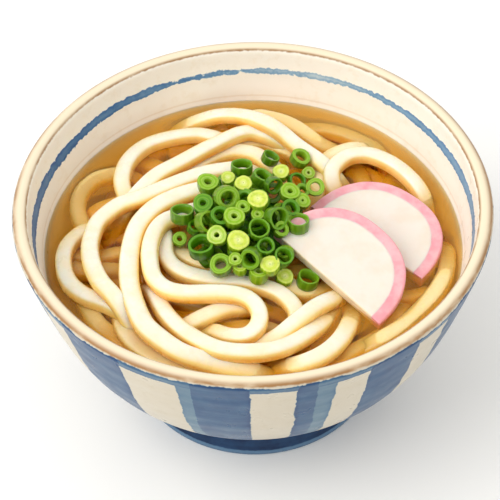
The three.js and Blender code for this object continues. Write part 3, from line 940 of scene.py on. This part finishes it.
def wandering_plan(rng, start, length):
    """A seeded, gently winding plan that runs both ways from its start and stays in the bowl."""
    heading = rng.uniform(0, 2 * math.pi)
    bend = rng.uniform(-1, 1) / 35
    halves = []
    for way, curve in ((heading, bend), (heading + math.pi, -bend)):
        place = np.array(start)
        points = [place]
        for _ in range(int(length / (2 * PLAN_STEP))):
            curve = max(min(curve + rng.uniform(-1, 1) * 0.006, TIGHTEST_CURVE), -TIGHTEST_CURVE)
            edge = smoothstep(BED_RADIUS - 12, BED_RADIUS, np.hypot(place[0], place[1]))
            way += PLAN_STEP * (curve * (1 - edge) + edge * 0.06 * home_side(place, way))
            place = place + PLAN_STEP * np.array([math.cos(way), math.sin(way)])
            points.append(place)
        halves.append(np.array(points))
    return np.vstack([halves[0][:0:-1], halves[1]])


def longest_run(good):
    """First and last place of the longest row of true values."""
    best, first = (0, -1), None
    for i, fine in enumerate([*good, False]):
        if fine and first is None:
            first = i
        if not fine and first is not None:
            if i - 1 - first > best[1] - best[0]:
                best = (first, i - 1)
            first = None
    return best


def open_places(middles, height):
    """Plan points in the bowl with no strand above this height over them."""
    side = np.arange(-BED_RADIUS, BED_RADIUS, OPEN_STEP)
    grid = np.stack(np.meshgrid(side, side), -1).reshape(-1, 2)
    grid = grid[np.hypot(grid[:, 0], grid[:, 1]) < BED_RADIUS]
    high = middles[middles[:, 2] > height]
    free = [gaps(part, high).min(axis=1) for part in np.array_split(grid, CHUNKS)]
    return grid[np.concatenate(free) > STRAND_WIDTH * COVER_REACH]


def lay_bed(bed, lids, rng, covered, limit, tries, length):
    """Adds seeded strands to the bed until none of it lies open above the covered height. Each lies
    on the bed so far, below the limit and under the strands on top, whose middles are the lids."""
    middles = np.vstack([lids, *bed])
    for attempt in range(tries):
        if attempt % BED_CHECK == 0:
            starts = open_places(middles, covered)
        if len(starts) < FEW_OPEN:
            break
        plan = wandering_plan(rng, starts[rng.randrange(len(starts))], rng.uniform(*length))
        lowest = np.maximum(floor_height(plan), between(plan, middles[len(lids):], 1))
        z = lowest
        for _ in range(40):
            z = np.maximum(softened(z), lowest)
        lid = np.minimum(between(plan, lids, -1), np.minimum(ceiling(plan), limit))
        inside = np.hypot(plan[:, 0], plan[:, 1]) < BED_RADIUS + BED_SPARE
        first, last = longest_run((z <= lid + BED_SQUEEZE) & inside)
        if PLAN_STEP * (last - first) < length[0] * SHORTEST:
            continue
        z = np.minimum(z, lid)[first : last + 1]
        before = [i for i in range(max(first - BED_TUCK, 0), first) if inside[i]]
        after = [i for i in range(last + 1, min(last + 1 + BED_TUCK, len(plan))) if inside[i]]
        plan = plan[[*before, *range(first, last + 1), *after]]
        sink = BED_TUCK_DROP * np.arange(1, BED_TUCK + 1)
        z = np.concatenate([z[0] - sink[: len(before)][::-1], z, z[-1] - sink[: len(after)]])
        for _ in range(4):
            z = softened(z)
        line = even_steps(np.column_stack([plan, z]), BED_STEP)
        bed.append(line)
        middles = np.vstack([middles, line])


def add_strand(builder, line, rng, sides, width=1.0):
    """Adds a strand round its middle, with its ends cut off and slightly rounded. Each point knows
    how far on the underside it is. The width is a share of the usual one."""
    ahead = np.gradient(line, axis=0)
    ahead /= np.linalg.norm(ahead, axis=1)[:, None]
    across = np.cross(ahead, [0, 0, 1.0])
    across /= np.linalg.norm(across, axis=1)[:, None]
    above = np.cross(across, ahead)
    along = lengths_along(line)
    seed = rng.random()
    twist = math.radians(16) * Wander(seed, [0.035, 0.06])(along)
    wide = width * (1 + 0.045 * Wander(seed + 1, [0.05, 0.11, 0.19])(along))
    high = 1 + 0.04 * Wander(seed + 2, [0.06, 0.13])(along)
    angles = turns(sides)
    flat = squared(np.cos(angles), STRAND_SQUARENESS) * STRAND_WIDTH / 2
    tall = squared(np.sin(angles), STRAND_SQUARENESS) * STRAND_HEIGHT / 2
    rings, under = [], []
    for i in range(len(line)):
        x, y = flat * wide[i], tall * high[i]
        side = x * math.cos(twist[i]) - y * math.sin(twist[i])
        up = x * math.sin(twist[i]) + y * math.cos(twist[i])
        rings.append(line[i] + side[:, None] * across[i] + up[:, None] * above[i])
        under.append(0.5 - 0.5 * up / (STRAND_HEIGHT / 2))
    caps = []
    for end, step in ((0, -1), (-1, 1)):
        face = rings[end] - line[end]
        caps.append([line[end] + face * share + step * ahead[end] * push for push, share in CUT_ROUNDING])
    rings = caps[0][::-1] + rings + caps[1]
    under = under[:1] * len(caps[0]) + under + under[-1:] * len(caps[1])
    builder.loft(rings[::-1], under=under[::-1])


def make_noodles():
    """The traced strands, the bed of seeded ones under them and the plain heart of the heap. Returns
    the middles of all strands, and the two pieces that carry the other food."""
    rng = random.Random(2024)
    top = []
    for name, line in weave():
        if name not in CUT_ENDS:
            line = dive(line, rng)
        line = dive(line[::-1], rng)[::-1]
        top.append((name, even_steps(line, STRAND_STEP)))
    lids = np.vstack([line for _, line in top])
    lids = lids[lids[:, 2] > LOWEST_LID]
    bed = []
    for layer in BED_LAYERS:
        lay_bed(bed, lids, rng, *layer)

    material = noodle_look()
    upper, lower, core = Builder(), Builder(), Builder()
    for name, line in top:
        add_strand(upper, line, rng, STRAND_SIDES, WIDER.get(name, 1.0))
    for line in bed:
        add_strand(lower, line, rng, BED_SIDES)
    top_piece = upper.piece("noodles_top", material, "noodle", sharp_over=50)
    bed_piece = lower.piece("noodles_below", material, "noodle", sharp_over=50)
    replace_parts(top_piece, "noodle_heap")

    angles = turns(CORE_AROUND)
    rows = CORE_SIDE + [(radius, core_top(radius)) for radius in CORE_CROWN]
    lumps = Wander(9, [5, 9, 14], closed=True)
    rings = []
    for i, (radius, height) in enumerate(rows):
        rings.append(circle(radius + CORE_LUMPS * (radius > 20) * lumps(angles + i), height, angles))
    # The heart takes the noodle's painted underside shade all over.
    core.loft(rings, under=0.6)
    core.piece("noodle_core", material, "noodle")
    return [line for _, line in top] + bed, [top_piece, bed_piece]


# ---------- the fish cake ----------
def dome_points(inset):
    """The half round outline from its right end to its left end, drawn in by an inset."""
    angles = np.linspace(0, math.pi, SLICE_COLUMNS)
    x = (SLICE_WIDTH / 2 - inset) * squared(np.cos(angles), SLICE_ROUNDNESS)
    y = (SLICE_HEIGHT - inset) * squared(np.sin(angles), SLICE_ROUNDNESS)
    return np.stack([x, y], -1)


def section(reach, edge, count, sides):
    """Points of a section from a place on the upper face out to the rounded edge, down the side and
    back in below: how far in from the edge they are, and how high."""
    corner = [(math.sin(t), 1 - math.cos(t)) for t in np.linspace(0, math.pi / 2, 5)]
    top = [(reach * share + edge * (1 - share), 0.0) for share in np.linspace(0, 1, count)[::-1]]
    rounded = [(edge * (1 - a), -edge * b) for a, b in corner[1:]]
    low = [(edge * b, -SLICE_THICKNESS + edge * (1 - a)) for a, b in corner]
    bottom = [(far_in, -SLICE_THICKNESS) for far_in, _ in top[::-1][1:]]
    return top + rounded + sides + low + bottom


def slice_warp(points, seed):
    """The slight bend and the knife's waves of a slice, in its own frame."""
    x, y, z = points.T
    bend = 0.35 * np.sin(x / 17 + seed) + 0.25 * np.cos(y / 12 + 2 * seed)
    waves = 0.07 * np.sin(y * 1.1 + 0.35 * np.sin(x / 6) + seed) * np.where(z > -1, 1, 0.3)
    return np.stack([x, y, z + bend - 0.2 + waves], -1)


def make_slice(name, placing, seed, looks):
    """One slice: its white body, and the pink rind over the dome. Each point knows how far it is
    from where the two meet, and whether it is on the side."""
    matrix = slice_matrix(*placing)

    def placed(points):
        return slice_warp(np.array(points), seed) @ matrix[:3, :3].T + matrix[:3, 3]

    outer, inner = dome_points(0), dome_points(RIND_WIDTH)
    rings, rims, sides = [], [], []
    for x, far in inner:
        reach = max(far, 0.05)
        edge = min(SLICE_EDGE, reach / 3)
        drops = [(0.0, -edge - (SLICE_THICKNESS - 2 * edge) * t) for t in (0.33, 0.66)]
        loop = section(reach, edge, 12, drops)
        rings.append(placed([(x, y, z) for y, z in loop]))
        rims.append([-np.min(np.hypot(inner[:, 0] - x, inner[:, 1] - y)) for y, _ in loop])
        sides.append([1.0 if y < edge + 0.01 and z < -0.01 else 0.0 for y, z in loop])
    body = Builder()
    body.loft(rings[::-1], rim=rims[::-1], side=sides[::-1])
    white = body.piece(f"fish_cake_{name}", looks["white"], "fish_cake", sharp_over=55)
    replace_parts(white, f"kamaboko_{name}_white")

    rings, rims, sides = [], [], []
    for start, ahead in zip(inner, outer - inner):
        wide = np.linalg.norm(ahead)
        ahead = ahead / wide
        drops = [(-0.05, -SLICE_THICKNESS * t) for t in (0.4, 0.6)]
        loop = [(wide - far_in, z) for far_in, z in section(wide, RIND_EDGE, 7, drops)]
        rings.append(placed([(*(start + ahead * w), z) for w, z in loop]))
        rims.append([w for w, _ in loop])
        sides.append([smoothstep(wide - RIND_EDGE, wide - 0.1, w) for w, _ in loop])
    for _ in range(2):      # the lists turn round after the first end, and back after the other
        middle = rings[-1].mean(axis=0)
        for share in (0.97, 0.9):
            rings.append(middle + (rings[-1] - middle) * share)
            rims.append(rims[-1])
            sides.append(sides[-1])
        rings, rims, sides = rings[::-1], rims[::-1], sides[::-1]
    rind = Builder()
    rind.loft(rings, rim=rims, side=sides)
    pink = rind.piece(f"fish_cake_rim_{name}", looks["pink"], "fish_cake_rim", sharp_over=55)
    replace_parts(pink, f"kamaboko_{name}_pink")
    return [white, pink]


def make_slices():
    looks = {"white": fish_cake_look("fish_cake", False), "pink": fish_cake_look("fish_cake_rim", True)}
    pieces = []
    for i, (name, placing) in enumerate(SLICES.items()):
        pieces += make_slice(name, placing, 1.3 * i, looks)
    return pieces


# ---------- the scallions ----------
def ring_section(radius, hole, height):
    """Radius, height, cut, inner and layer of each point round a ring's section."""
    half, bevel = height / 2, RING_BEVEL
    hole = max(hole, 0.35) if hole > CLOSED_HOLE * radius else 0.05
    wall = radius - hole - 2 * bevel
    points = [
        (radius - 0.05, -half + bevel, 0, 0, 0), (radius + 0.06, 0, 0, 0, 0),
        (radius - 0.05, half - bevel, 0, 0, 0), (radius - 0.35 * bevel, half - 0.3 * bevel, 0.3, 0, 0),
    ]
    for i, share in enumerate((0.0, 0.2, 0.4, 0.6, 0.8, 1.0)):
        points.append((radius - bevel - wall * share, half - RING_RELIEF * (i % 2), 1, 0, share))
    points += [
        (hole, half - bevel, 0.5, 0.5, 1), (hole * 0.97, 0, 0, 1, 1), (hole, -half + bevel, 0.5, 0.5, 1),
        (hole + bevel, -half, 1, 0, 1), (radius - bevel - wall * 0.5, -half, 1, 0, 0.5),
        (radius - bevel, -half, 1, 0, 0),
    ]
    return np.array(points)


def add_ring(builder, middle, axis, diameter, tone, hole, rng):
    """Adds one sliced ring, with its middle and axis, to the mesh."""
    axis = axis / np.linalg.norm(axis)
    across = np.cross(axis, [0.31, 0.95, 0.05])
    across /= np.linalg.norm(across)
    along = np.cross(axis, across)
    radius = diameter / 2
    height = RING_HEIGHT * diameter * rng.uniform(0.9, 1.12)
    seed = rng.random()
    oval = Wander(seed, [2, 3], closed=True)
    ribs = Wander(seed + 1, [7, 11, 16], closed=True)
    slant = rng.uniform(-0.07, 0.07)
    tilt = rng.uniform(0, 2 * math.pi)
    outward, level, cut, inner, layer = ring_section(radius, hole * radius, height).T
    rings, streaks = [], []
    for turn in turns(RING_SIDES):
        rib = RING_RIBS * ribs(turn) * (inner < 0.4) * (outward > 0.8 * radius)
        r = outward * (1 + RING_OVAL * oval(turn)) + rib
        z = level * (1 + slant * math.cos(turn - tilt))
        out = math.cos(turn) * across + math.sin(turn) * along
        rings.append(middle + r[:, None] * out + z[:, None] * axis)
        streaks.append([0.5 + 0.5 * ribs(turn)])
    builder.loft(rings, close=True, tone=tone, cut=cut, inner=inner, layer=layer, streak=streaks)


def mound_limit(place, top, side):
    """The highest level for a ring's middle: a low dome over the noodles."""
    out = ((place[0] - MOUND_MIDDLE[0]) / MOUND_REACH[0]) ** 2
    out += ((place[1] - MOUND_MIDDLE[1]) / MOUND_REACH[1]) ** 2
    return side + (top - side) * max(1 - out, 0.0)


class Heap:
    """Rings dropped one by one on the food and on each other."""

    def __init__(self, trees):
        self.trees = [(CAMERA_PLACE, math.inf, tree) for tree in trees]
        self.builder = Builder()

    def free_way(self, start, direction, ring, rng):
        """How far a ring can move along a direction before it touches something."""
        trial = Builder()
        add_ring(trial, start, **ring, rng=rng)
        trees = []
        for middle, reach, tree in self.trees:
            aside = np.linalg.norm(np.cross(middle - start, direction))
            if aside < reach + ring["diameter"] * RING_REACH:
                trees.append(tree)
        heading = Vector(direction)
        way = FAR_AWAY
        for place in start + (np.array(trial.places) - start) * RING_SQUEEZE:
            for tree in trees:
                hit = tree.ray_cast(Vector(place), heading, way)
                if hit[0] is not None:
                    way = min(way, hit[3])
        return way

    def drop(self, start, direction, ring, rng, limit, skip=False):
        """Moves a ring from its start along a direction until it touches something, or down to the
        limit, and adds it. One that lies above the limit can be skipped instead."""
        state = rng.getstate()
        middle = start + direction * (self.free_way(start, direction, ring, rng) + RING_SINK)
        high = middle[2] > mound_limit(middle, *limit)
        if middle[2] < LOWEST_RING or (skip and high):
            return
        while middle[2] > mound_limit(middle, *limit):
            middle = middle + BACK_STEP * direction
        rng.setstate(state)
        first, offset = len(self.builder.faces), len(self.builder.places)
        add_ring(self.builder, middle, **ring, rng=rng)
        faces = [tuple(i - offset for i in face) for face in self.builder.faces[first:]]
        tree = BVHTree.FromPolygons(self.builder.places[offset:], faces)
        self.trees.append((middle, ring["diameter"] * RING_REACH, tree))


def make_scallions(carriers):
    """The mound: a plain heart, seeded rings that fill it and the rings that the picture shows."""
    rng = random.Random(77)
    heap = Heap([tree_of(piece) for piece in carriers])
    middle, reach = np.array(MOUND_CORE)
    angles = turns(40)
    bumps = Wander(12, [4, 7, 11], closed=True)
    rows = []
    for rise in np.radians(np.linspace(-80, 80, 17)):
        wavy = math.cos(rise) * (1 + 0.06 * bumps(angles + 60 * rise))
        rows.append(middle + circle(wavy, math.sin(rise), angles) * reach)
    heap.builder.loft(rows, tone=0.0, cut=0.0, inner=0.2, layer=0.0, streak=0.3)
    core = BVHTree.FromPolygons(heap.builder.places, heap.builder.faces)
    heap.trees.append((middle, max(reach), core))
    for _ in range(FILL_TRIES):
        turn, out = rng.uniform(0, 2 * math.pi), 0.9 * math.sqrt(rng.random())
        x = MOUND_MIDDLE[0] + MOUND_REACH[0] * out * math.cos(turn)
        y = MOUND_MIDDLE[1] + MOUND_REACH[1] * out * math.sin(turn)
        ring = {
            "axis": np.array([rng.gauss(0, 0.5), rng.gauss(0, 0.5), rng.uniform(0.5, 1.0)]),
            "diameter": rng.uniform(6.2, 9.0), "tone": rng.choice(FILL_TONES), "hole": rng.uniform(0.35, 0.8),
        }
        start = np.array([x, y, FILL_START])
        heap.drop(start, np.array([0.0, 0.0, -1.0]), ring, rng, (FILL_TOP, FILL_SIDE), skip=True)
    for x, y, across, right, up, tone, hole in RINGS:
        ray = view_rays([(x, y)])[0]
        ray = ray / np.linalg.norm(ray)
        start = CAMERA_PLACE + ray * (CAMERA_PLACE[2] - RING_START) / -ray[2]
        toward = math.sqrt(max(1 - right**2 - up**2, 0.0))
        ring = {
            "axis": right * PICTURE_RIGHT + up * PICTURE_UP + toward * BACK,
            "diameter": across * (CAMERA_DISTANCE - MOUND_NEARER) / FOCAL_PIXELS, "tone": tone, "hole": hole,
        }
        heap.drop(start, ray, ring, rng, (MOUND_TOP, MOUND_SIDE))
    scallions = heap.builder.piece("scallions", scallion_look(), "scallion", sharp_over=60)
    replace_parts(scallions, "scallion_heap")


# ---------- the broth ----------
def broth_depths(plan, middles):
    """How deep the broth is over each point, down to a strand or to the bowl's wall."""
    depth = BROTH_LEVEL - inner_height(np.linalg.norm(plan, axis=1))
    for chunk in np.array_split(np.arange(len(plan)), CHUNKS):
        gap = gaps(plan[chunk], middles) / (STRAND_WIDTH / 2)
        high = middles[:, 2] + STRAND_HEIGHT / 2 * bulge(np.minimum(gap, 1), STRAND_SQUARENESS)
        top = np.where(gap < 1, high, -np.inf).max(axis=1)
        depth[chunk] = np.minimum(depth[chunk], BROTH_LEVEL - top)
    return np.clip(depth, 0, BROTH_DEPTH_SEEN)


def meniscus(distance, height=MENISCUS_HEIGHT):
    """How far the broth rises at this distance from what it wets."""
    return height * np.exp(-np.maximum(distance, 0) / MENISCUS_REACH)


def broth_lift(plan, middles, slices):
    """How far the broth rises at each point, at the strands, the bowl's wall and the slices."""
    rise = middles[:, 2] + STRAND_HEIGHT / 2 - BROTH_LEVEL
    crossing = (rise > 0.15) & (middles[:, 2] - STRAND_HEIGHT / 2 < BROTH_LEVEL - 0.1)
    middles, rise = middles[crossing], rise[crossing]
    off = np.clip(np.abs(middles[:, 2] - BROTH_LEVEL) / (STRAND_HEIGHT / 2), 0, 1)
    half = STRAND_WIDTH / 2 * bulge(off, STRAND_SQUARENESS)
    size = np.minimum(MENISCUS_HEIGHT, 0.35 * rise)
    lift = np.zeros(len(plan))
    for chunk in np.array_split(np.arange(len(plan)), CHUNKS):
        lift[chunk] = meniscus(gaps(plan[chunk], middles) - half, size).max(axis=1)
    lift = np.maximum(lift, meniscus(inner_radius(BROTH_LEVEL) - np.linalg.norm(plan, axis=1)))
    for tree in [tree_of(piece) for piece in slices]:
        for i, (x, y) in enumerate(plan):
            if SLICES_LEFT < x < SLICES_RIGHT and SLICES_NEAR < y < SLICES_FAR:
                near = tree.find_nearest(Vector((x, y, BROTH_LEVEL)), 6.0)
                if near[0] is not None and near[0].z > BROTH_LEVEL - 0.4:
                    lift[i] = max(lift[i], meniscus(near[3]))
    return lift


def make_broth(strands, slices):
    """The broth as one closed piece. Its surface is finer at the wall, and knows its depth."""
    reach = float(inner_radius(BROTH_LEVEL + MENISCUS_HEIGHT)) + BROTH_OVERLAP
    radii = np.concatenate([np.linspace(0.8, reach - 3.2, 98), np.linspace(reach - 2.8, reach, 9)])
    angles = turns(BROTH_AROUND)
    plan = (radii[:, None, None] * np.stack([np.cos(angles), np.sin(angles)], -1)[None]).reshape(-1, 2)
    middles = np.vstack([even_steps(line, 1.0) for line in strands])
    reaching = middles[:, 2] + STRAND_HEIGHT / 2 - BROTH_LEVEL > -BROTH_DEPTH_SEEN
    depth = broth_depths(plan, middles[reaching]).reshape(len(radii), BROTH_AROUND)
    surface = np.column_stack([plan, BROTH_LEVEL + broth_lift(plan, middles, slices)])
    surface = surface.reshape(len(radii), BROTH_AROUND, 3)
    rings = []
    for height in (24, 28, 36, 46, 56, 64, BROTH_LEVEL - 2):
        rings.append(circle(float(inner_radius(height)) + BROTH_OVERLAP, height, angles))
    below = np.full((len(rings), BROTH_AROUND), BROTH_DEPTH_SEEN)
    builder = Builder()
    builder.loft([*rings, *surface[::-1]], depth=np.vstack([below, depth[::-1]]))
    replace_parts(builder.piece("broth_clear", broth_look(), "broth"), "broth")


# ---------- stage, light and camera ----------
def make_stage():
    """A plain pale floor."""
    look = Look("floor")
    shade = look.mix(look.noise(400, 2), srgb(253, 253, 252), srgb(250, 250, 249))
    mesh = bpy.data.meshes.new("floor")
    half = FLOOR_SIZE / 2
    corners = [(-half, -half, 0), (half, -half, 0), (half, half, 0), (-half, half, 0)]
    mesh.from_pydata(corners, [], [(0, 1, 2, 3)])
    mesh.materials.append(look.principled(shade, 0.7))
    floor = bpy.data.objects.new("floor", mesh)
    bpy.context.scene.collection.objects.link(floor)


def make_light():
    """Soft light from the upper left, as the drawing is shaded, and a bright sky."""
    light = bpy.data.lights.new("softbox", "AREA")
    light.shape = "DISK"
    light.size = LIGHT_SIZE
    light.energy = LIGHT_POWER
    light.color = LIGHT_COLOUR
    lamp = bpy.data.objects.new("softbox", light)
    lamp.location = LIGHT_PLACE
    lamp.rotation_mode = "QUATERNION"
    lamp.rotation_quaternion = (Vector(LIGHT_TARGET) - Vector(LIGHT_PLACE)).to_track_quat("-Z", "Y")
    bpy.context.scene.collection.objects.link(lamp)
    world = bpy.data.worlds.new("studio")
    world.use_nodes = True
    background = world.node_tree.nodes["Background"]
    background.inputs["Color"].default_value = (*LIGHT_COLOUR, 1.0)
    background.inputs["Strength"].default_value = SKY_STRENGTH
    bpy.context.scene.world = world


def make_camera():
    """The camera of the picture."""
    data = bpy.data.cameras.new("camera")
    data.sensor_width = SENSOR_WIDTH
    data.sensor_fit = "HORIZONTAL"
    data.lens = SENSOR_WIDTH * FOCAL_PIXELS / PICTURE_SIZE
    data.clip_start, data.clip_end = 0.05, 20.0
    camera = bpy.data.objects.new("camera", data)
    axes = np.column_stack([PICTURE_RIGHT, PICTURE_UP, BACK])
    camera.matrix_world = Matrix.Translation(CAMERA_PLACE * MM) @ Matrix(axes.tolist()).to_4x4()
    bpy.context.scene.collection.objects.link(camera)
    bpy.context.scene.camera = camera


def main():
    make_camera()
    make_stage()
    make_light()
    make_bowl()
    strands, noodles = make_noodles()
    slices = make_slices()
    make_scallions(noodles + slices)
    make_broth(strands, slices)
    bpy.context.scene.view_settings.view_transform = "Standard"


main()
